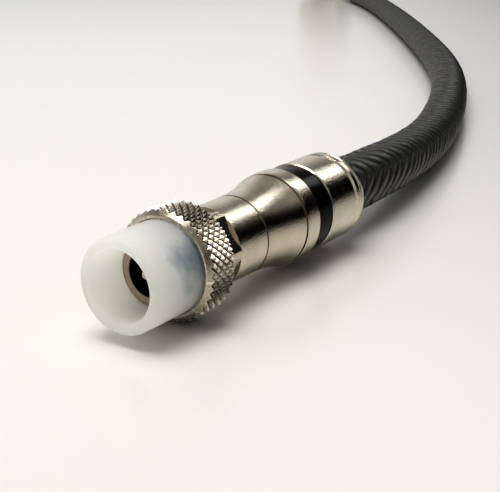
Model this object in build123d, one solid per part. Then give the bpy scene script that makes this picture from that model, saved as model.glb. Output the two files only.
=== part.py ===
"""Cable shutter release: a knurled coupling nut and nickel head, a braided cable, and a plunger handle.

Millimetres. The origin is the centre of the coupling nut's mouth. +X runs along the head's axis from the
mouth towards the cable, +Z is up, and the release lies on a surface at Z = -NUT_R.
"""
from build123d import *
import math
import os

# ---- coupling nut and cap ----
NUT_R = 4.75            # over the knurl
NUT_RIM_R = 4.22        # front rim, where the bevel starts
NUT_BEVEL = 0.50
NUT_LENGTH = 3.25
THREAD_R = 3.98         # minor radius of the internal thread
THREAD_DEPTH = 2.00
CAP_R = 3.90
CAP_BORE_R = 2.90
CAP_FRONT_X = -5.45
CAP_BACK_X = 1.25
CAP_OUTER_ROUND = 0.54  # of the open rim
CAP_INNER_ROUND = 0.36

# ---- head ----
NOSE_R = 2.82           # boss that the cap grips
NOSE_FRONT_X = -1.70
NOSE_FLANGE_R = 3.75    # keeps the nut on the shank
SHANK_R = 3.25          # nose shank, on which the nut turns
SHANK_END_X = 6.50
RECESS_R = 1.90
PIN_R = 0.33
PIN_TIP_X = -2.30
GUIDE_FRONT_X = -0.90
GUIDE_STEP_X = 2.00     # from here back the guide fills the nose
GUIDE_END_X = 6.00
GUIDE_NECK_R = 1.10
SOCKET_X = 14.20        # front of the socket that joins the pin to the wire
SOCKET_END_X = 24.00
SOCKET_R = 1.20
SOCKET_BORE_R = 0.65
PIN_GRIP = 0.80         # length of pin held in the socket
HEX_START_X = 3.30
HEX_END_X = 5.85
HEX_CORNER_R = 3.62
HEX_FLAT_R = 3.26
HEX_PHASE = 27          # degrees from +Y to the first flat's normal
NECK_R = 3.50
GROOVE_1_X = 9.86
GROOVE_2_X = 15.20
BODY_R = 4.38
BODY_END_X = 17.40
BODY_BORE_R = 1.70
LAND_2_R = 4.28         # at the second groove, where the flare ends
GROOVE = 0.22           # width of the fine grooves
EDGE = 0.15             # small edge chamfers

# ---- cable fittings, the same at both ends ----
SCREW_IN = 2.00         # thread of the crimp sleeve inside the head and the handle
SEAL_LENGTH = 2.60
SEAL_R = 4.12
SEAL_BORE_R = 3.30
FERRULE_LENGTH = 6.25
FERRULE_R = 4.27
NOZZLE_R = 2.15         # goes inside the cable's sheath
NOZZLE_BORE_R = 1.30
ANCHOR_LENGTH = 9.60    # of the crimp sleeve, thread and nozzle together

# ---- cable ----
CABLE_R = 3.00
SHEATH_BORE_R = 2.20
CONDUIT_R = 1.60
CONDUIT_BORE_R = 0.80
WIRE_R = 0.55
WIRE_LEAD = 10.00       # bare wire beyond the conduit, inside the pin's socket
CONDUIT_GAP = 0.30      # between the conduit's ends and the nozzles
TRAVEL = 8.00           # of the plunger and of the release pin

# ---- handle, along its own axis from the cable end ----
HOUSING_END = 40.00
HOUSING_R = 5.00
HOUSING_THREAD_R = 4.40 # through the finger flange
CHAMBER_R = 3.40
CHAMBER_START = 13.00
FLANGE_S = 34.20
FLANGE_THICK = 2.40
FLANGE_R = 12.00
FLANGE_NUT_R = 6.20
FLANGE_NUT_LENGTH = 2.60
SEAT_S = 25.00          # spring seat on the rod
ROD_R = 1.50
ROD_START = 22.00
ROD_END = 59.50
WIRE_END = 24.00        # inside the rod's bore
WIRE_BORE_END = 36.00
GUIDE_START = 36.00
COLLAR_START = 42.00
COLLAR_END = 47.00
COLLAR_R = 4.20
GUIDE_HEAD_R = 4.60
LOCK_R = 1.00
LOCK_HEAD_R = 2.40
LOCK_HEAD_LIFT = 4.70   # underside of the screw's head above the rod's axis
LOCK_HEAD_HEIGHT = 2.60
LOCK_S = 44.50
BUTTON_S = 57.00
BUTTON_R = 7.00

FIT = 0.05              # radial clearance of running fits
GRIP_DEPTH = 5.25       # of the sheath inside each ferrule

TABLE_Z = -NUT_R
LYING_Z = TABLE_Z + CABLE_R

# centre line of the cable, from inside the front ferrule to inside the handle's
ROUTE = [
    (21.0, 0.0, 0.0), (35.0, 0.0, 0.0), (49.5, 2.2, -1.0), (65.0, 5.6, LYING_Z),
    (82.0, 10.8, LYING_Z), (100.0, 17.4, LYING_Z), (118.0, 25.2, LYING_Z),
    (137.0, 34.9, LYING_Z), (158.0, 46.8, LYING_Z), (181.0, 60.3, LYING_Z),
    (205.0, 74.8, LYING_Z), (229.0, 89.8, LYING_Z), (252.0, 104.6, LYING_Z),
    (273.0, 119.1, LYING_Z), (290.0, 131.9, LYING_Z), (304.0, 143.4, LYING_Z),
    (314.6, 152.9, 1.103),
]


def turned(*corners):
    """Solid of revolution about the X axis from (x, radius) corners."""
    return revolve(make_face(Polyline(*corners, close=True)), Axis.X)


def tube(x0, x1, outer, inner):
    """Plain tube along X."""
    return turned((x0, inner), (x0, outer), (x1, outer), (x1, inner))


def groove(x, r, width=GROOVE, depth=0.15):
    """Ring to cut from a turned part of radius r."""
    return tube(x - width / 2, x + width / 2, r + 1, r - depth)


# ---- head ----
def coupling_nut():
    nut = turned(
        (0, THREAD_R), (0, NUT_RIM_R), (NUT_BEVEL, NUT_R - 0.12), (NUT_BEVEL, NUT_R),
        (NUT_LENGTH - 0.1, NUT_R), (NUT_LENGTH, NUT_R - 0.15), (NUT_LENGTH, SHANK_R + FIT),
        (THREAD_DEPTH, SHANK_R + FIT), (THREAD_DEPTH, THREAD_R),
    )
    return nut


def protective_cap():
    """Soft open cap. Its front rim is rounded, more on the outside."""
    outline = make_face(Polyline(
        (CAP_FRONT_X, CAP_BORE_R), (CAP_FRONT_X, CAP_R - 0.08), (-1, CAP_R),
        (CAP_BACK_X, CAP_R), (CAP_BACK_X, CAP_BORE_R), close=True,
    ))
    outer_corner = outline.vertices().group_by(Axis.X)[0].sort_by(Axis.Y)[-1]
    outline = fillet(outer_corner, CAP_OUTER_ROUND)
    inner_corner = outline.vertices().group_by(Axis.X)[0].sort_by(Axis.Y)[0]
    outline = fillet(inner_corner, CAP_INNER_ROUND)
    return revolve(outline, Axis.X)


def nose_tube():
    nose = turned(
        (NOSE_FRONT_X, RECESS_R), (NOSE_FRONT_X, NOSE_R - 0.25), (NOSE_FRONT_X + 0.25, NOSE_R),
        (CAP_BACK_X + FIT, NOSE_R), (CAP_BACK_X + FIT, NOSE_FLANGE_R),
        (THREAD_DEPTH - FIT, NOSE_FLANGE_R), (THREAD_DEPTH - FIT, SHANK_R),
        (SHANK_END_X, SHANK_R), (SHANK_END_X, RECESS_R),
    )
    return nose


def pin_guide():
    guide = turned(
        (GUIDE_FRONT_X, PIN_R + FIT), (GUIDE_FRONT_X, GUIDE_NECK_R - EDGE),
        (GUIDE_FRONT_X + EDGE, GUIDE_NECK_R), (GUIDE_STEP_X, GUIDE_NECK_R),
        (GUIDE_STEP_X, RECESS_R), (GUIDE_END_X, RECESS_R), (GUIDE_END_X, PIN_R + FIT),
    )
    return guide


def release_pin():
    """Slender pin with a ball tip and a step at its back end that the socket holds."""
    ball_r = PIN_R + 0.03
    shank = tube(PIN_TIP_X + ball_r, SOCKET_X + PIN_GRIP, PIN_R, 0)
    ball = Pos(PIN_TIP_X + ball_r, 0, 0) * Sphere(ball_r)
    return shank + ball


def wire_socket():
    """Sleeve that joins the release pin to the end of the inner wire and slides with them."""
    body = tube(SOCKET_X, SOCKET_END_X, SOCKET_R, SOCKET_BORE_R)
    plug = tube(SOCKET_X, SOCKET_X + PIN_GRIP, SOCKET_R, PIN_R)
    return body + plug


def bell_profile():
    """Outline of the body from the hexagon's end to its rear, over both grooves' lands."""
    flare = Spline((GROOVE_1_X, NECK_R + 0.05), (11.5, 3.61), (13.3, 3.84), (GROOVE_2_X, LAND_2_R))
    lead = Polyline(
        (HEX_START_X, SHANK_R), (HEX_START_X, HEX_CORNER_R), (HEX_END_X, HEX_CORNER_R),
        (HEX_END_X, NECK_R), (GROOVE_1_X, NECK_R + 0.05),
    )
    tail = Polyline(
        (GROOVE_2_X, LAND_2_R), (GROOVE_2_X + 0.4, BODY_R - 0.04), (BODY_END_X - EDGE, BODY_R),
        (BODY_END_X, BODY_R - EDGE), (BODY_END_X, SEAL_BORE_R),
        (BODY_END_X - SCREW_IN, SEAL_BORE_R), (BODY_END_X - SCREW_IN, BODY_BORE_R),
        (SHANK_END_X, BODY_BORE_R), (SHANK_END_X, SHANK_R), (HEX_START_X, SHANK_R),
    )
    return lead + flare + tail


def head_body():
    body = revolve(make_face(bell_profile().edges()), Axis.X)
    body -= groove(GROOVE_1_X, NECK_R + 0.05)
    body -= groove(GROOVE_2_X, LAND_2_R, depth=0.2)
    reach = 2.0
    for k in range(6):
        flat = Pos((HEX_START_X + HEX_END_X) / 2, HEX_FLAT_R + reach / 2, 0) * Box(
            HEX_END_X - HEX_START_X, reach, 2 * HEX_CORNER_R
        )
        body -= Rot(HEX_PHASE + 60 * k, 0, 0) * flat
    return body


# ---- cable fittings: built at x = 0 with the cable towards +X, used at both ends ----
def crimp_sleeve():
    """Threaded sleeve with a nozzle that goes inside the sheath."""
    thread_end = SCREW_IN + SEAL_LENGTH
    return turned(
        (0, NOZZLE_BORE_R), (0, SEAL_BORE_R), (thread_end, SEAL_BORE_R), (thread_end, NOZZLE_R),
        (ANCHOR_LENGTH, NOZZLE_R - 0.1), (ANCHOR_LENGTH, NOZZLE_BORE_R),
    )


def seal_ring():
    x0 = SCREW_IN
    x1 = SCREW_IN + SEAL_LENGTH
    return turned(
        (x0, SEAL_BORE_R), (x0, SEAL_R - 0.1), (x0 + 0.1, SEAL_R), (x1 - 0.1, SEAL_R),
        (x1, SEAL_R - 0.1), (x1, SEAL_BORE_R),
    )


def cable_ferrule():
    """Crimped ferrule with two bead lines near the cable."""
    x0 = SCREW_IN + SEAL_LENGTH
    x1 = x0 + FERRULE_LENGTH
    r = FERRULE_R
    ferrule = turned(
        (x0, CABLE_R), (x0, r - 0.12), (x0 + 0.12, r), (x1 - 2.0, r), (x1 - 1.85, r - 0.2),
        (x1 - 1.6, r - 0.2), (x1 - 1.45, r), (x1 - 0.95, r), (x1 - 0.8, r - 0.2),
        (x1 - 0.6, r - 0.2), (x1 - 0.45, r - 0.02), (x1 - 0.1, r - 0.1), (x1, r - 0.35),
        (x1, CABLE_R),
    )
    return ferrule


def at_head(piece):
    return Pos(BODY_END_X - SCREW_IN, 0, 0) * piece


# ---- cable ----
def route_line(points):
    """Straight runs joined by tangent arcs, each as large as its two runs allow."""
    corners = [Vector(*p) for p in points]
    radii = []
    for a, b, c in zip(corners, corners[1:], corners[2:]):
        half_turn = math.radians((b - a).get_angle(c - b)) / 2
        shorter = min((b - a).length, (c - b).length)
        radii.append(0.45 * shorter / math.tan(half_turn))
    return FilletPolyline(*points, radius=radii), radii


def along(line, outer, inner=0.0):
    """Tube of a circular section along a line."""
    start = Plane(origin=line @ 0, z_dir=line % 0)
    ring = Sketch() + Circle(outer)
    if inner:
        ring -= Circle(inner)
    return sweep(start * ring, path=line)


def cable_axis_end():
    """Direction of the handle's axis: the cable's last run."""
    return (Vector(*ROUTE[-1]) - Vector(*ROUTE[-2])).normalized()


def lengthened(points, front, back):
    """The route with its two end points moved along the end runs."""
    first, second = Vector(*points[0]), Vector(*points[1])
    head_way = (second - first).normalized()
    moved_first = first + head_way * front
    moved_last = Vector(*points[-1]) + cable_axis_end() * back
    return [tuple(moved_first), *points[1:-1], tuple(moved_last)]


# ---- handle: built along +X from the cable end, then laid on the surface ----
def plunger_housing():
    s0 = FERRULE_LENGTH + SEAL_LENGTH
    outline = [
        (s0, SEAL_BORE_R), (s0, BODY_R - EDGE), (s0 + EDGE, BODY_R), (s0 + 2.2, BODY_R),
        (s0 + 4.2, HOUSING_R), (FLANGE_S - 0.3, HOUSING_R), (FLANGE_S, HOUSING_R - 0.3),
        (FLANGE_S, HOUSING_THREAD_R), (HOUSING_END, HOUSING_THREAD_R), (HOUSING_END, CHAMBER_R),
        (CHAMBER_START, CHAMBER_R), (CHAMBER_START, BODY_BORE_R), (s0 + SCREW_IN, BODY_BORE_R),
        (s0 + SCREW_IN, SEAL_BORE_R),
    ]
    housing = turned(*outline)
    housing -= groove(s0 + 2.2, BODY_R)
    for distance in (1.6, 2.4):
        housing -= groove(FLANGE_S - distance, HOUSING_R)
    return housing


def finger_flange():
    s1 = FLANGE_S + FLANGE_THICK
    disc = turned(
        (FLANGE_S, HOUSING_THREAD_R), (FLANGE_S, 8.0), (FLANGE_S + 0.5, FLANGE_R - 1.2),
        (FLANGE_S + 0.5, FLANGE_R), (s1, FLANGE_R), (s1, HOUSING_THREAD_R),
    )
    rim = disc.edges().filter_by(GeomType.CIRCLE).sort_by(lambda e: e.radius)[-2:]
    return fillet(rim, 0.7)


def flange_nut():
    s0 = FLANGE_S + FLANGE_THICK
    s1 = s0 + FLANGE_NUT_LENGTH
    return turned(
        (s0, HOUSING_THREAD_R), (s0, FLANGE_NUT_R), (s1 - 0.4, FLANGE_NUT_R),
        (s1, FLANGE_NUT_R - 0.4), (s1, HOUSING_THREAD_R),
    )


def rod_guide():
    return turned(
        (GUIDE_START, ROD_R + FIT), (GUIDE_START, CHAMBER_R), (HOUSING_END, CHAMBER_R),
        (HOUSING_END, GUIDE_HEAD_R), (COLLAR_START, GUIDE_HEAD_R), (COLLAR_START, ROD_R + FIT),
    )


def plunger_rod():
    rod = tube(ROD_START, ROD_END, ROD_R, 0)
    wire_bore = tube(ROD_START, WIRE_BORE_END, SOCKET_BORE_R, 0)
    return rod - wire_bore


def spring_seat():
    return tube(SEAT_S, SEAT_S + 1.2, CHAMBER_R - 0.2, ROD_R)


def stop_clip():
    """Retaining clip in the rod's groove: it holds the plunger in against the guide."""
    ring = tube(GUIDE_START - 0.9, GUIDE_START - 0.1, 2.7, ROD_R)
    slot = Pos(GUIDE_START - 0.5, 0, 2.1) * Box(2, 1.6, 2.2)
    return ring - slot


def return_spring():
    """Coil spring between the chamber's floor and the seat on the rod."""
    wire_r, mean_r, turns = 0.32, 2.45, 6
    s0 = CHAMBER_START + wire_r + 0.02
    s1 = SEAT_S - wire_r - 0.02
    height = s1 - s0
    coil = Helix(pitch=height / turns, height=height, radius=mean_r)
    start = Plane(origin=coil @ 0, z_dir=coil % 0)
    spring = sweep(start * Circle(wire_r), path=coil, is_frenet=True)
    return Pos(s0, 0, 0) * Rot(0, 90, 0) * spring


def lock_collar():
    collar = turned(
        (COLLAR_START, ROD_R + FIT), (COLLAR_START, COLLAR_R), (COLLAR_END - 0.4, COLLAR_R),
        (COLLAR_END, COLLAR_R - 0.4), (COLLAR_END, ROD_R + FIT),
    )
    screw_hole = Pos(LOCK_S, 0, 3) * Cylinder(LOCK_R + FIT, 4)
    return collar - screw_hole


def lock_screw():
    upward = (Align.CENTER, Align.CENTER, Align.MIN)
    tip = ROD_R + 0.3
    shank = Pos(LOCK_S, 0, tip) * Cylinder(LOCK_R, LOCK_HEAD_LIFT - tip, align=upward)
    head = Pos(LOCK_S, 0, LOCK_HEAD_LIFT) * Cylinder(LOCK_HEAD_R, LOCK_HEAD_HEIGHT, align=upward)
    return shank + chamfer(head.edges().filter_by(GeomType.CIRCLE), 0.25)


def thumb_button():
    """Mushroom button with a domed top and a boss that takes the rod's end."""
    s = BUTTON_S
    outline = Polyline(
        (ROD_END, 0), (ROD_END, ROD_R), (s - 1.5, ROD_R), (s - 1.5, 2.6), (s, 2.6),
        (s + 0.6, BUTTON_R - 0.4), (s + 1.0, BUTTON_R), (s + 2.2, BUTTON_R),
        (s + 2.8, BUTTON_R - 0.5),
    )
    edge_r, rise = BUTTON_R - 0.5, 1.9
    ball_r = (edge_r**2 + rise**2) / (2 * rise)
    top = s + 2.8 + rise
    halfway = (top - ball_r + math.sqrt(ball_r**2 - (edge_r / 2) ** 2), edge_r / 2)
    dome = ThreePointArc((s + 2.8, edge_r), halfway, (top, 0))
    axis = Line((top, 0), (ROD_END, 0))
    return revolve(make_face((outline + dome + axis).edges()), Axis.X)


def at_handle(piece):
    """Lay a handle piece on the cable's last run, with the lock screw on its upper side."""
    way = cable_axis_end()
    grip_end = Vector(*ROUTE[-1])
    mouth = grip_end - way * GRIP_DEPTH
    side = Vector(0, 0, 1).cross(way).normalized()
    up = way.cross(side)
    return Plane(origin=mouth, x_dir=way, z_dir=up).location * piece


def at_handle_fitting(piece):
    """A cable fitting, turned round so that its cable side meets the cable."""
    length = SCREW_IN + SEAL_LENGTH + FERRULE_LENGTH
    return at_handle(Pos(length, 0, 0) * Rot(0, 0, 180) * piece)


def build():
    sheath_line, radii = route_line(ROUTE)
    print("arc radii", [round(r, 1) for r in radii])
    print("free length", round(sheath_line.length - 2 * GRIP_DEPTH, 1))

    nozzle_end = BODY_END_X - SCREW_IN + ANCHOR_LENGTH
    front = nozzle_end + CONDUIT_GAP - ROUTE[0][0]
    nozzle_inside = ANCHOR_LENGTH - SCREW_IN - SEAL_LENGTH
    grip_to_nozzle = nozzle_inside - (FERRULE_LENGTH - GRIP_DEPTH)
    conduit_line, _ = route_line(lengthened(ROUTE, front, -grip_to_nozzle - CONDUIT_GAP))
    wire_line, _ = route_line(lengthened(ROUTE, front - WIRE_LEAD, WIRE_END - GRIP_DEPTH))

    nodes = {
        "protective_cap": protective_cap(),
        "coupling_nut": coupling_nut(),
        "nose_tube": nose_tube(),
        "pin_guide": pin_guide(),
        "release_pin": release_pin(),
        "wire_socket": wire_socket(),
        "head_body": head_body(),
        "front_crimp_sleeve": at_head(crimp_sleeve()),
        "front_seal_ring": at_head(seal_ring()),
        "front_ferrule": at_head(cable_ferrule()),
        "cable_sheath": along(sheath_line, CABLE_R, SHEATH_BORE_R),
        "wire_conduit": along(conduit_line, CONDUIT_R, CONDUIT_BORE_R),
        "inner_wire": along(wire_line, WIRE_R),
        "rear_ferrule": at_handle_fitting(cable_ferrule()),
        "rear_seal_ring": at_handle_fitting(seal_ring()),
        "rear_crimp_sleeve": at_handle_fitting(crimp_sleeve()),
        "plunger_housing": at_handle(plunger_housing()),
        "finger_flange": at_handle(finger_flange()),
        "flange_nut": at_handle(flange_nut()),
        "rod_guide": at_handle(rod_guide()),
        "lock_collar": at_handle(lock_collar()),
        "lock_screw": at_handle(lock_screw()),
        "plunger_rod": at_handle(plunger_rod()),
        "spring_seat": at_handle(spring_seat()),
        "stop_clip": at_handle(stop_clip()),
        "return_spring": at_handle(return_spring()),
        "thumb_button": at_handle(thumb_button()),
    }
    os.makedirs("parts", exist_ok=True)
    for name, shape in nodes.items():
        export_step(shape, f"parts/{name}.step")

    section = math.pi * (CABLE_R**2 - SHEATH_BORE_R**2)
    ratio = nodes["cable_sheath"].volume / (section * sheath_line.length)
    print("sheath volume / (section x length)", round(ratio, 4))
    flange_low = nodes["finger_flange"].bounding_box().min.Z - TABLE_Z
    ferrule_low = nodes["rear_ferrule"].bounding_box().min.Z - TABLE_Z
    print("above the surface: flange", round(flange_low, 2), "ferrule", round(ferrule_low, 2))
    way = cable_axis_end()
    mouth = Vector(*ROUTE[-1]) - way * GRIP_DEPTH
    print("handle axis", [round(v, 5) for v in way], "mouth", [round(v, 4) for v in mouth])


build()
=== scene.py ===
"""Cable shutter release lying on a pale table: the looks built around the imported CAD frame.

Sizes are millimetres, turned into metres by MM where they meet Blender. The origin is the centre of the
coupling nut's mouth, +X runs along the head's axis towards the cable, and the table is at z = TABLE_Z.
"""
import math

import bmesh
import bpy
import numpy as np
from mathutils import Matrix, Vector


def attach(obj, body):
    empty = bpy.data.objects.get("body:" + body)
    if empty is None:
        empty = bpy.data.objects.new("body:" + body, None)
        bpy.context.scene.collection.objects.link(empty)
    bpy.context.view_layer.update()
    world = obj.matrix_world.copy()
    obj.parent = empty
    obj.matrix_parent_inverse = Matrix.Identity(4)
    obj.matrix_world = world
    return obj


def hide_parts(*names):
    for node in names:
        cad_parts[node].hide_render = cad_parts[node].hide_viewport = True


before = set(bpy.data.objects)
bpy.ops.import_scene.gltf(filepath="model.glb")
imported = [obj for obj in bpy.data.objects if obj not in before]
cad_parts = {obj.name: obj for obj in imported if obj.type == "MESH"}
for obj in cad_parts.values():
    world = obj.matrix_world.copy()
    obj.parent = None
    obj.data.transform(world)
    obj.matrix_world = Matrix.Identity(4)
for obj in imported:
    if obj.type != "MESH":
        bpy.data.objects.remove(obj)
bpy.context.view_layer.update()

MM = 0.001
TURN = 2 * math.pi

# ---- driving dimensions, mm ----
TABLE_Z = -4.75
NUT_R = 4.75
NUT_RIM_R = 4.22
NUT_BEVEL = 0.50
NUT_LENGTH = 3.25
NUT_BORE_R = 3.30
THREAD_R = 3.98
THREAD_DEPTH = 2.00
THREAD_PITCH = 0.40
THREAD_CUT = 0.14       # depth of the thread's groove
KNURL_COUNT = 39
KNURL_PITCH = 0.77
KNURL_DEPTH = 0.32
KNURL_START = 0.36      # from the mouth
KNURL_CREST = 1.12      # over 1, so that the diamonds' points are cut flat
KNURL_STEPS = 12        # mesh steps in each diamond, both ways
CABLE_R = 3.00
SHEATH_BORE_R = 2.25
GRIP_DEPTH = 5.25       # of the cable inside each ferrule
FLANGE_NUT_S = 36.60    # along the handle's axis
FLANGE_NUT_R = 6.20
FLANGE_NUT_BORE_R = 4.40
FLANGE_NUT_LENGTH = 2.60
LOCK_S = 44.50
LOCK_R = 1.00
LOCK_TIP = 1.80
LOCK_HEAD_R = 2.40
LOCK_HEAD_LIFT = 4.70
LOCK_HEAD_TOP = 7.30
LOCK_FLUTES = 30
FLANGE_NUT_FLUTES = 64
FLUTE_DEPTH = 0.16
FLUTE_CREST = 1.4       # over 1, so that the flutes' crests are flat
FLUTE_STEPS = 8         # mesh columns in each flute
FLUTED_STEP = 0.15      # mesh step along a fluted piece

CAP_SHADE_SPOT = (-0.6, -3.4, 1.4)   # middle of the cap's bluish patch of painted shade, on its right side

# ---- camera and room ----
CAMERA_PLACE = (-57.737, -45.883, 25.736)
CAMERA_HEADING = 33.17  # degrees from +X
CAMERA_PITCH = -18.065
DARK_SIDE = (0.547, -0.837, 0.0)
ROOM_DARK = 0.004
ROOM_BACK = 0.60
ROOM_CEILING = 0.26
ROOM_SEEN = 0.60        # what the camera sees, apart from what lights the object
KEY_PLACE = (-0.035, 0.055, 0.50)   # lights are in metres and watts
KEY_SIZE = (0.36, 0.36)
KEY_POWER = 1.68
STRIP_PLACE = (0.46, -0.06, 0.36)
STRIP_SIZE = (0.14, 0.30)
STRIP_POWER = 0.26

# ---- cable: the CAD tube's route, mm ----
LYING_Z = TABLE_Z + CABLE_R
ROUTE = [
    (21.0, 0.0, 0.0), (35.0, 0.0, 0.0), (49.5, 2.2, -1.0), (65.0, 5.6, LYING_Z),
    (82.0, 10.8, LYING_Z), (100.0, 17.4, LYING_Z), (118.0, 25.2, LYING_Z),
    (137.0, 34.9, LYING_Z), (158.0, 46.8, LYING_Z), (181.0, 60.3, LYING_Z),
    (205.0, 74.8, LYING_Z), (229.0, 89.8, LYING_Z), (252.0, 104.6, LYING_Z),
    (273.0, 119.1, LYING_Z), (290.0, 131.9, LYING_Z), (304.0, 143.4, LYING_Z),
    (314.6, 152.9, 1.103),
]
STRAND_PITCH = 1.90     # of the braid's strokes, along the cable
STRAND_DEPTH = 0.36
YARNS = 3               # in each strand
SPINES = 3              # herringbone spines around the cable
ARM_SLANT = 1.5         # strokes run back by this many pitches from a spine to the next valley
SPINE_ANGLE = math.radians(148)
RING_STEP = 0.16
BRAID_COLUMNS = 72
BORE_ROWS = 8           # the bore has one ring of points for this many of the braid's

handle_way = (Vector(ROUTE[-1]) - Vector(ROUTE[-2])).normalized()
handle_mouth = Vector(ROUTE[-1]) - handle_way * GRIP_DEPTH
handle_side = Vector((0, 0, 1)).cross(handle_way).normalized()
handle_up = handle_way.cross(handle_side)


# ---- camera ----
def make_camera():
    """72 mm lens a hand's width in front of the nut, 18 degrees above the table."""
    data = bpy.data.cameras.new("camera")
    data.lens = 72
    data.sensor_width = 36
    data.clip_start = 0.005
    data.clip_end = 30
    camera = bpy.data.objects.new("camera", data)
    bpy.context.scene.collection.objects.link(camera)
    camera.location = Vector(CAMERA_PLACE) * MM
    heading = math.radians(CAMERA_HEADING)
    pitch = math.radians(CAMERA_PITCH)
    level = math.cos(pitch)
    way = Vector((math.cos(heading) * level, math.sin(heading) * level, math.sin(pitch)))
    camera.rotation_euler = way.to_track_quat("-Z", "Y").to_euler()
    bpy.context.scene.camera = camera


# ---- mesh helpers ----
def mesh_piece(name, verts, faces, sharp_angle=40):
    """Closed mesh from points in metres, with outward normals and smooth shading."""
    mesh = bpy.data.meshes.new(name)
    mesh.from_pydata(verts.tolist(), [], faces.tolist())
    shell = bmesh.new()
    shell.from_mesh(mesh)
    bmesh.ops.recalc_face_normals(shell, faces=shell.faces)
    shell.to_mesh(mesh)
    shell.free()
    mesh.shade_smooth()
    mesh.set_sharp_from_angle(angle=math.radians(sharp_angle))
    piece = bpy.data.objects.new(name, mesh)
    bpy.context.scene.collection.objects.link(piece)
    return piece


def grid_faces(rows, columns):
    """Quads of a grid that is closed around its rows and around its columns."""
    i, j = np.meshgrid(np.arange(rows), np.arange(columns), indexing="ij")
    up, right = (i + 1) % rows, (j + 1) % columns
    corners = [i * columns + j, i * columns + right, up * columns + right, up * columns + j]
    return np.stack(corners, -1).reshape(-1, 4)


def divided(outline, step):
    """Points along a closed outline, its corners kept, no further apart than step."""
    points = []
    for a, b in zip(outline, outline[1:] + outline[:1]):
        count = max(1, math.ceil(math.dist(a, b) / step))
        run = (b[0] - a[0], b[1] - a[1])
        points += [(a[0] + run[0] * k / count, a[1] + run[1] * k / count) for k in range(count)]
    return np.array(points)


def lathe(name, outline, columns, step, relief, place=Matrix.Identity(4), sharp_angle=28):
    """Turned piece about X: relief(x, r, angle) gives the radius at each point of the outline."""
    points = divided(outline, step)
    angle = np.arange(columns)[None, :] * TURN / columns
    x = points[:, :1] + 0 * angle
    r = relief(x, points[:, 1:] + 0 * angle, angle + 0 * x)
    verts = np.stack([x, r * np.cos(angle), r * np.sin(angle)], -1).reshape(-1, 3) * MM
    piece = mesh_piece(name, verts, grid_faces(len(points), columns), sharp_angle)
    piece.data.transform(place)
    return piece


def ridge(t):
    """0 at whole numbers and 1 half-way between them, in straight lines."""
    return 1 - np.abs((t % 1) * 2 - 1)


# ---- knurled pieces ----
def nut_relief(x, r, angle):
    """Diamond knurl cut into the rim, and a thread in the mouth."""
    round_it = KNURL_COUNT * angle / TURN
    pyramid = np.minimum(ridge(round_it + x / KNURL_PITCH), ridge(round_it - x / KNURL_PITCH))
    knurl = NUT_R - KNURL_DEPTH * (1 - np.minimum(1, KNURL_CREST * pyramid))
    outside = r > THREAD_R + 0.1
    r = np.where(outside & (x > KNURL_START), np.minimum(r, knurl), r)
    threaded = (np.abs(r - THREAD_R) < 0.01) & (x > 0.15) & (x < THREAD_DEPTH - 0.1)
    return np.where(threaded, r + THREAD_CUT * ridge(x / THREAD_PITCH - angle / TURN), r)


def coupling_nut():
    """Nut with a bevelled front rim, the diamond knurl and the thread, turned on the head's axis."""
    outline = [
        (0, THREAD_R), (0, NUT_RIM_R - 0.05), (0.06, NUT_RIM_R + 0.03), (NUT_BEVEL, NUT_R - 0.1),
        (NUT_BEVEL + 0.08, NUT_R), (NUT_LENGTH - 0.08, NUT_R), (NUT_LENGTH, NUT_R - 0.12),
        (NUT_LENGTH, NUT_BORE_R), (THREAD_DEPTH, NUT_BORE_R), (THREAD_DEPTH, THREAD_R),
    ]
    columns, step = KNURL_COUNT * KNURL_STEPS, KNURL_PITCH / KNURL_STEPS
    nut = lathe("knurled_coupling_nut", outline, columns, step, nut_relief)
    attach(nut, "nut")
    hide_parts("coupling_nut")
    return nut


def fluted(name, outline, outer, count, place):
    """Turned piece with straight flutes on its outer radius."""
    def relief(x, r, angle):
        cut = outer - FLUTE_DEPTH * (1 - np.minimum(1, FLUTE_CREST * ridge(count * angle / TURN)))
        return np.where(r > outer - 2 * FLUTE_DEPTH, np.minimum(r, cut), r)
    return lathe(name, outline, count * FLUTE_STEPS, FLUTED_STEP, relief, place)


def handle_place(axis, across, origin_s):
    """Matrix that lays a turned piece's X axis along axis, from a point of the handle's axis."""
    third = axis.cross(across)
    origin = (handle_mouth + handle_way * origin_s) * MM
    columns = [axis, across, third, origin]
    return Matrix([[c[row] for c in columns] for row in range(3)] + [[0, 0, 0, 1]])


def flange_nut():
    """Nut that holds the finger flange on the handle."""
    r, length = FLANGE_NUT_R, FLANGE_NUT_LENGTH
    outline = [
        (0.02, FLANGE_NUT_BORE_R), (0.02, r - 0.2), (0.2, r), (length - 0.4, r), (length, r - 0.4),
        (length, FLANGE_NUT_BORE_R),
    ]
    place = handle_place(handle_way, handle_side, FLANGE_NUT_S)
    nut = fluted("knurled_flange_nut", outline, r, FLANGE_NUT_FLUTES, place)
    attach(nut, "frame")
    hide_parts("flange_nut")
    return nut


def lock_screw():
    """Screw that locks the plunger, with a dished fluted head."""
    r, low, high = LOCK_HEAD_R, LOCK_HEAD_LIFT, LOCK_HEAD_TOP
    outline = [
        (LOCK_TIP, 0.02), (LOCK_TIP, LOCK_R - 0.15), (LOCK_TIP + 0.15, LOCK_R), (low, LOCK_R),
        (low, r - 0.25), (low + 0.25, r), (high - 0.25, r), (high, r - 0.25), (high, 1.5),
        (high - 0.2, 1.3), (high - 0.2, 0.02),
    ]
    place = handle_place(handle_up, handle_way, LOCK_S)
    screw = fluted("knurled_lock_screw", outline, r, LOCK_FLUTES, place)
    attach(screw, "lock")
    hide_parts("lock_screw")
    return screw


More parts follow.
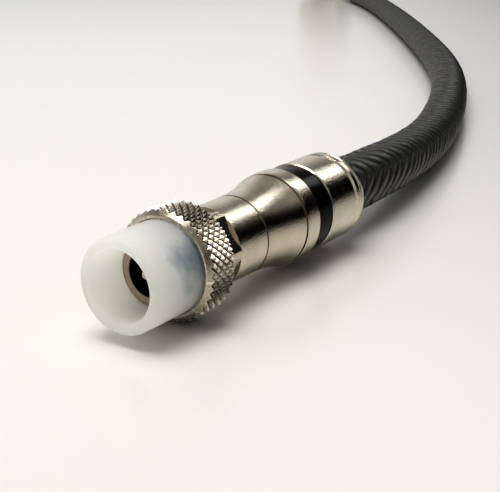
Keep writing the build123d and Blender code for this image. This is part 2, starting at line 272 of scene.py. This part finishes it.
# ---- cable ----
def cable_line():
    """Points of the cable's NURBS line, whose control points are the route, evenly spaced, in metres."""
    curve = bpy.data.curves.new("cable_route", "CURVE")
    curve.dimensions = "3D"
    spline = curve.splines.new("NURBS")
    spline.points.add(len(ROUTE) - 1)
    for point, place in zip(spline.points, ROUTE):
        point.co = (*(Vector(place) * MM), 1)
    spline.order_u = 3
    spline.use_endpoint_u = True
    spline.resolution_u = 32
    holder = bpy.data.objects.new("cable_route", curve)
    bpy.context.scene.collection.objects.link(holder)
    bpy.context.view_layer.update()
    line = bpy.data.meshes.new_from_object(holder)
    raw = np.array([v.co for v in line.vertices])
    bpy.data.objects.remove(holder)
    bpy.data.meshes.remove(line)
    gone = np.concatenate([[0], np.cumsum(np.linalg.norm(np.diff(raw, axis=0), axis=1))])
    even = np.linspace(0, gone[-1], round(gone[-1] / (RING_STEP * MM)) + 1)
    return np.stack([np.interp(even, gone, raw[:, k]) for k in range(3)], -1), even


def carried_frames(points):
    """Two unit normals at each point, carried along the line without twist."""
    ways = np.gradient(points, axis=0)
    ways /= np.linalg.norm(ways, axis=1)[:, None]
    across = np.zeros_like(points)
    normal = np.array([0.0, 1.0, 0.0])
    for k, way in enumerate(ways):
        normal = normal - way * (normal @ way)
        normal /= np.linalg.norm(normal)
        across[k] = normal
    return across, np.cross(ways, across)


def strand_height(s, angle):
    """0 in the gaps and 1 on the crests of a herringbone braid, at s mm along and an angle round it.

    Slow waves of unlike lengths shift the strands a little and sink some of them, so that they look laid by
    hand and not stamped.
    """
    from_spine = ridge((angle - SPINE_ANGLE) / TURN * SPINES)
    phase = s / STRAND_PITCH + from_spine * ARM_SLANT
    phase = phase + 0.09 * np.sin(0.83 * s + 2 * angle) + 0.06 * np.sin(1.9 * s - 3 * angle)
    stroke = np.minimum(1, np.abs(np.sin(math.pi * phase)) / 0.6)
    yarns = np.abs(np.sin(YARNS * math.pi * phase)) ** 0.7
    laid = 0.9 + 0.1 * np.sin(0.57 * s + 1.3) * np.sin(1.31 * s + angle)
    return stroke * (0.72 + 0.28 * yarns) * laid


def braided_cable():
    """Woven sheath with its bore, swept along the cable's line."""
    points, even = cable_line()
    across, upward = carried_frames(points)
    angle = np.arange(BRAID_COLUMNS) * TURN / BRAID_COLUMNS
    height = strand_height(even[:, None] / MM, angle[None, :])
    radius = (CABLE_R - STRAND_DEPTH * (1 - height))[:, :, None] * MM
    turn = angle[None, :, None]
    round_it = across[:, None] * np.cos(turn) + upward[:, None] * np.sin(turn)
    outer = points[:, None] + round_it * radius
    inner = (points[:, None] + round_it * SHEATH_BORE_R * MM)[::-1][::BORE_ROWS]
    rows = len(outer) + len(inner)
    verts = np.concatenate([outer.reshape(-1, 3), inner.reshape(-1, 3)])
    cable = mesh_piece("braided_cable", verts, grid_faces(rows, BRAID_COLUMNS), 60)
    strands = cable.data.attributes.new("strand", "FLOAT", "POINT")
    values = np.concatenate([height.ravel(), np.zeros(inner.shape[0] * BRAID_COLUMNS)])
    strands.data.foreach_set("value", values.astype(np.float32))
    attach(cable, "frame")
    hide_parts("cable_sheath")
    return cable


# ---- material helpers ----
def set_range(spread, low, high, out_low, out_high):
    """Limits of a Map Range node."""
    names = ("From Min", "From Max", "To Min", "To Max")
    for name, value in zip(names, (low, high, out_low, out_high)):
        spread.inputs[name].default_value = value


class Maker:
    """A node material and short names for what is built in it."""

    def __init__(self, name):
        self.material = bpy.data.materials.new(name)
        self.material.use_nodes = True
        self.tree = self.material.node_tree
        self.shader = self.tree.nodes["Principled BSDF"]
        self.place = self.node("ShaderNodeTexCoord").outputs["Object"]

    def node(self, kind, **settings):
        made = self.tree.nodes.new(kind)
        for key, value in settings.items():
            setattr(made, key, value)
        return made

    def link(self, source, target):
        self.tree.links.new(source, target)

    def set(self, **values):
        """Plain values on the shader's own sockets."""
        for key, value in values.items():
            self.shader.inputs[key.replace("_", " ")].default_value = value

    def along(self, axis):
        """Distance along an axis, in metres."""
        dot = self.node("ShaderNodeVectorMath", operation="DOT_PRODUCT")
        self.link(self.place, dot.inputs[0])
        dot.inputs[1].default_value = axis
        return dot.outputs["Value"]

    def noise(self, scale, detail=3.0, roughness=0.5, source=None):
        noise = self.node("ShaderNodeTexNoise", noise_dimensions="3D" if source is None else "1D")
        noise.inputs["Scale"].default_value = scale
        noise.inputs["Detail"].default_value = detail
        noise.inputs["Roughness"].default_value = roughness
        if source is None:
            self.link(self.place, noise.inputs["Vector"])
        else:
            self.link(source, noise.inputs["W"])
        return noise.outputs[0]

    def ramp(self, source, *stops):
        """Colour ramp from (position, colour) stops."""
        ramp = self.node("ShaderNodeValToRGB")
        elements = ramp.color_ramp.elements
        while len(elements) < len(stops):
            elements.new(0.5)
        for element, (position, colour) in zip(elements, stops):
            element.position = position
            element.color = (*colour, 1)
        self.link(source, ramp.inputs["Fac"])
        return ramp.outputs["Color"]

    def span(self, source, low, high, out_low, out_high):
        """Straight-line map of a value, held at its ends."""
        spread = self.node("ShaderNodeMapRange")
        set_range(spread, low, high, out_low, out_high)
        self.link(source, spread.inputs["Value"])
        return spread.outputs["Result"]

    def bump(self, height, distance, strength=1.0, below=None):
        bump = self.node("ShaderNodeBump")
        bump.inputs["Distance"].default_value = distance
        bump.inputs["Strength"].default_value = strength
        self.link(height, bump.inputs["Height"])
        if below is not None:
            self.link(below, bump.inputs["Normal"])
        return bump.outputs["Normal"]


def turned_metal(name, colour, axis, rough, grain=1.0, dark=0.82):
    """Plated or bare turned metal: fine lathe lines round the axis, grain, and uneven polish."""
    m = Maker(name)
    m.set(Metallic=1.0)
    cloud = m.noise(420, 4, 0.6)
    darker = tuple(c * dark for c in colour)
    m.link(m.ramp(cloud, (0.3, darker), (0.7, colour)), m.shader.inputs["Base Color"])
    polish = m.span(m.noise(900, 5, 0.65), 0.3, 0.7, rough * 0.75, rough * 1.3)
    m.link(polish, m.shader.inputs["Roughness"])
    lines = m.bump(m.noise(14000, 2, 0.6, m.along(axis)), 0.000005, 0.4 * grain)
    speckle = m.bump(m.noise(7500, 2, 0.5), 0.000045, 0.5 * grain, lines)
    m.link(speckle, m.shader.inputs["Normal"])
    return m.material


def knurl_metal():
    """Nickel of the knurls: lighter on the points, with painted shade turning the grooves near-black."""
    m = Maker("nickel_knurled")
    m.set(Metallic=1.0)
    point = m.node("ShaderNodeNewGeometry").outputs["Pointiness"]
    # painted shade: hollows (low pointiness) go near-black, flat faces mid nickel, points lighter
    painted_groove_shade = m.ramp(
        point, (0.44, (0.09, 0.075, 0.055)), (0.5, (0.46, 0.41, 0.33)), (0.56, (0.74, 0.70, 0.62)),
    )
    m.link(painted_groove_shade, m.shader.inputs["Base Color"])
    m.link(m.span(m.noise(2500, 4), 0.3, 0.7, 0.2, 0.36), m.shader.inputs["Roughness"])
    m.link(m.bump(m.noise(16000, 3, 0.6), 0.000008, 0.6), m.shader.inputs["Normal"])
    return m.material


def cap_plastic():
    """Milky plastic that lets light through: cream, with a cloudy bluish patch of painted shade round one
    spot on its right side.
    """
    m = Maker("milky_cap")
    cloud = m.noise(330, 3, 0.55)
    away = m.node("ShaderNodeVectorMath", operation="DISTANCE")
    m.link(m.place, away.inputs[0])
    away.inputs[1].default_value = Vector(CAP_SHADE_SPOT) * MM
    # painted shade: a bluish, darker patch of colour round the spot, fading out over about 4 mm
    patch = m.span(away.outputs["Value"], 0.0006, 0.0042, 0.85, 0.0)
    tint = m.node("ShaderNodeMath", operation="ADD")
    m.link(patch, tint.inputs[0])
    m.link(m.span(cloud, 0.3, 0.7, -0.12, 0.42), tint.inputs[1])
    milk = m.ramp(
        tint.outputs[0], (0.15, (0.99, 0.985, 0.95)), (0.5, (0.95, 0.97, 0.97)), (0.95, (0.49, 0.57, 0.62)),
    )
    m.link(milk, m.shader.inputs["Base Color"])
    m.set(
        Roughness=0.42, IOR=1.3, Subsurface_Weight=1.0, Subsurface_Scale=0.0015,
        Subsurface_Radius=(1.0, 1.0, 1.0), Transmission_Weight=0.0,
    )
    m.link(m.bump(m.noise(1800, 4, 0.55), 0.00002, 0.35), m.shader.inputs["Normal"])
    through = m.node("ShaderNodeBsdfTranslucent")
    m.link(milk, through.inputs["Color"])
    mix = m.node("ShaderNodeMixShader")
    mix.inputs["Fac"].default_value = 0.62
    m.link(m.shader.outputs["BSDF"], mix.inputs[1])
    m.link(through.outputs["BSDF"], mix.inputs[2])
    m.link(mix.outputs["Shader"], m.tree.nodes["Material Output"].inputs["Surface"])
    return m.material


def braid_material():
    """Glossy black yarn, matt in the gaps between strands, with painted shade darkening the gaps and a
    lighter crest colour as painted sheen.
    """
    m = Maker("black_braid")
    strand = m.node("ShaderNodeAttribute", attribute_name="strand").outputs["Fac"]
    # painted shade in the gaps, near-black; the crests' lighter colour is a painted sheen
    m.link(
        m.ramp(strand, (0.25, (0.002, 0.002, 0.002)), (0.9, (0.048, 0.048, 0.044))),
        m.shader.inputs["Base Color"],
    )
    m.link(m.span(strand, 0.2, 0.9, 0.6, 0.34), m.shader.inputs["Roughness"])
    m.set(Specular_IOR_Level=0.8)
    m.link(m.bump(m.noise(5200, 4, 0.6), 0.00004, 0.4), m.shader.inputs["Normal"])
    return m.material


def dark_rubber(name, colour, rough):
    """Black moulded rubber or plastic with a fine skin."""
    m = Maker(name)
    paler = tuple(c * 2.2 for c in colour)
    m.link(m.ramp(m.noise(700, 4), (0.35, colour), (0.75, paler)), m.shader.inputs["Base Color"])
    skin = m.span(m.noise(1500, 4), 0.3, 0.7, rough * 0.85, rough * 1.2)
    m.link(skin, m.shader.inputs["Roughness"])
    m.set(Specular_IOR_Level=0.1)
    m.link(m.bump(m.noise(9000, 3, 0.6), 0.00001, 0.5), m.shader.inputs["Normal"])
    return m.material


def nose_brass():
    """Face-turned brass: fine rings about the axis, and a bore painted near-black as shade."""
    m = Maker("nose_brass")
    m.set(Metallic=1.0)
    flat = m.node("ShaderNodeVectorMath", operation="MULTIPLY")
    m.link(m.place, flat.inputs[0])
    flat.inputs[1].default_value = (0, 1, 1)
    radius = m.node("ShaderNodeVectorMath", operation="LENGTH")
    m.link(flat.outputs["Vector"], radius.inputs[0])
    rings = m.noise(9000, 2, 0.6, radius.outputs["Value"])
    brass = m.ramp(
        rings, (0.3, (0.20, 0.15, 0.11)), (0.5, (0.46, 0.38, 0.30)), (0.7, (0.62, 0.55, 0.45)),
    )
    # painted shade: inside the bore's radius the colour turns near-black
    bore = m.span(radius.outputs["Value"], 0.00192, 0.00196, 1, 0)
    mix = m.node("ShaderNodeMix", data_type="RGBA")
    m.link(bore, mix.inputs["Factor"])
    m.link(brass, mix.inputs[6])
    mix.inputs[7].default_value = (0.012, 0.011, 0.010, 1)
    m.link(mix.outputs[2], m.shader.inputs["Base Color"])
    m.link(m.span(rings, 0.3, 0.7, 0.25, 0.42), m.shader.inputs["Roughness"])
    m.link(m.bump(rings, 0.00003, 0.6), m.shader.inputs["Normal"])
    return m.material


def pin_ivory():
    """Pale pin with a satin tip, a little stained."""
    m = Maker("pin_ivory")
    stain = m.noise(3500, 3, 0.6)
    ivory = m.ramp(stain, (0.35, (0.42, 0.40, 0.24)), (0.6, (0.80, 0.79, 0.66)))
    m.link(ivory, m.shader.inputs["Base Color"])
    m.link(m.span(m.noise(2500, 3), 0.3, 0.7, 0.22, 0.4), m.shader.inputs["Roughness"])
    m.set(Metallic=0.15)
    return m.material


def table_material():
    """Smooth pale table top with a soft gloss."""
    m = Maker("table")
    tint = m.noise(14, 3, 0.5)
    pale = m.ramp(tint, (0.3, (0.80, 0.79, 0.755)), (0.7, (0.82, 0.81, 0.78)))
    m.link(pale, m.shader.inputs["Base Color"])
    m.set(Roughness=0.22, Specular_IOR_Level=0.5)
    m.link(m.bump(m.noise(900, 3, 0.5), 0.00002, 0.1), m.shader.inputs["Normal"])
    return m.material


def dress(material, *pieces):
    """Give pieces one material."""
    for piece in pieces:
        piece.data.materials.clear()
        piece.data.materials.append(material)


# ---- table and light ----
def make_table():
    bpy.ops.mesh.primitive_plane_add(size=6, location=(0, 0, TABLE_Z * MM))
    table = bpy.context.object
    table.name = "table"
    dress(table_material(), table)


def area_light(name, place, size, power, colour, aim=(0.012, 0, 0)):
    data = bpy.data.lights.new(name, "AREA")
    data.shape = "RECTANGLE"
    data.size, data.size_y = size
    data.energy = power
    data.color = colour
    light = bpy.data.objects.new(name, data)
    bpy.context.scene.collection.objects.link(light)
    light.location = place
    light.rotation_euler = (Vector(aim) - Vector(place)).to_track_quat("-Z", "Y").to_euler()
    return light


def eased_span(tree, source, low, high, out_low, out_high):
    spread = tree.nodes.new("ShaderNodeMapRange")
    spread.interpolation_type = "SMOOTHSTEP"
    set_range(spread, low, high, out_low, out_high)
    tree.links.new(source, spread.inputs["Value"])
    return spread.outputs["Result"]


def make_world():
    """Pale room whose DARK_SIDE is dark from the floor up to a dimmer ceiling."""
    world = bpy.data.worlds.new("room")
    bpy.context.scene.world = world
    world.use_nodes = True
    tree = world.node_tree
    shade = tree.nodes["Background"]
    way = tree.nodes.new("ShaderNodeTexCoord").outputs["Generated"]
    parts = tree.nodes.new("ShaderNodeSeparateXYZ")
    tree.links.new(way, parts.inputs[0])
    side = tree.nodes.new("ShaderNodeVectorMath")
    side.operation = "DOT_PRODUCT"
    side.inputs[1].default_value = DARK_SIDE
    tree.links.new(way, side.inputs[0])
    back = eased_span(tree, side.outputs["Value"], 0.0, 0.45, ROOM_BACK, ROOM_DARK)
    ceiling = eased_span(tree, parts.outputs["Z"], 0.40, 0.58, 0.0, 1.0)
    mix = tree.nodes.new("ShaderNodeMix")
    tree.links.new(ceiling, mix.inputs["Factor"])
    tree.links.new(back, mix.inputs[2])
    mix.inputs[3].default_value = ROOM_CEILING
    seen = tree.nodes.new("ShaderNodeMix")
    tree.links.new(tree.nodes.new("ShaderNodeLightPath").outputs["Is Camera Ray"], seen.inputs["Factor"])
    tree.links.new(mix.outputs[0], seen.inputs[2])
    seen.inputs[3].default_value = ROOM_SEEN
    tree.links.new(seen.outputs[0], shade.inputs["Strength"])
    shade.inputs["Color"].default_value = (1.0, 0.992, 0.975, 1)


def make_light():
    """Room, a soft light overhead, and a strip that only reflections show."""
    make_world()
    area_light("key", KEY_PLACE, KEY_SIZE, KEY_POWER, (1.0, 0.988, 0.97))
    glint = area_light("strip", STRIP_PLACE, STRIP_SIZE, STRIP_POWER, (1.0, 1.0, 1.0))
    glint.visible_diffuse = False


# ---- the scene ----
def dress_cad_nodes():
    """Materials for the CAD nodes that stay in view."""
    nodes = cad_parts
    head_axis, handle_axis = (1, 0, 0), tuple(handle_way)
    nickel = (0.70, 0.64, 0.53)
    brass = (0.52, 0.42, 0.29)
    steel = (0.60, 0.60, 0.58)
    head_nickel = turned_metal("nickel_head", nickel, head_axis, 0.15)
    handle_nickel = turned_metal("nickel_handle", nickel, handle_axis, 0.17)
    dress(head_nickel, nodes["head_body"], nodes["front_ferrule"])
    for name in ("rear_ferrule", "plunger_housing", "finger_flange", "lock_collar"):
        dress(handle_nickel, nodes[name])
    dress(nose_brass(), nodes["nose_tube"])
    guide_brass = turned_metal("guide_brass", brass, head_axis, 0.3)
    handle_brass = turned_metal("handle_brass", brass, handle_axis, 0.3)
    dress(guide_brass, nodes["pin_guide"], nodes["front_crimp_sleeve"])
    dress(handle_brass, nodes["rod_guide"], nodes["rear_crimp_sleeve"])
    dress(pin_ivory(), nodes["release_pin"])
    dress(turned_metal("socket_steel", steel, head_axis, 0.22), nodes["wire_socket"])
    rod_steel = turned_metal("rod_steel", steel, handle_axis, 0.2)
    dress(rod_steel, nodes["plunger_rod"], nodes["spring_seat"], nodes["stop_clip"])
    dress(turned_metal("spring_steel", steel, handle_axis, 0.25, 1.5), nodes["return_spring"])
    dress(turned_metal("conduit_steel", (0.45, 0.45, 0.46), head_axis, 0.35, 1.5), nodes["wire_conduit"])
    dress(turned_metal("wire_steel", steel, head_axis, 0.3), nodes["inner_wire"])
    dress(cap_plastic(), nodes["protective_cap"])
    ring_black = dark_rubber("black_ring", (0.003, 0.004, 0.003), 0.14)
    dress(ring_black, nodes["front_seal_ring"], nodes["rear_seal_ring"])
    dress(dark_rubber("button_plastic", (0.012, 0.012, 0.012), 0.24), nodes["thumb_button"])


make_camera()
dress(braid_material(), braided_cable())
make_table()
make_light()
dress(knurl_metal(), coupling_nut(), flange_nut(), lock_screw())
dress_cad_nodes()
bpy.context.scene.view_settings.view_transform = "Standard"
bpy.context.scene.view_settings.look = "High Contrast"  # deepens the picture's blacks, and not the model's
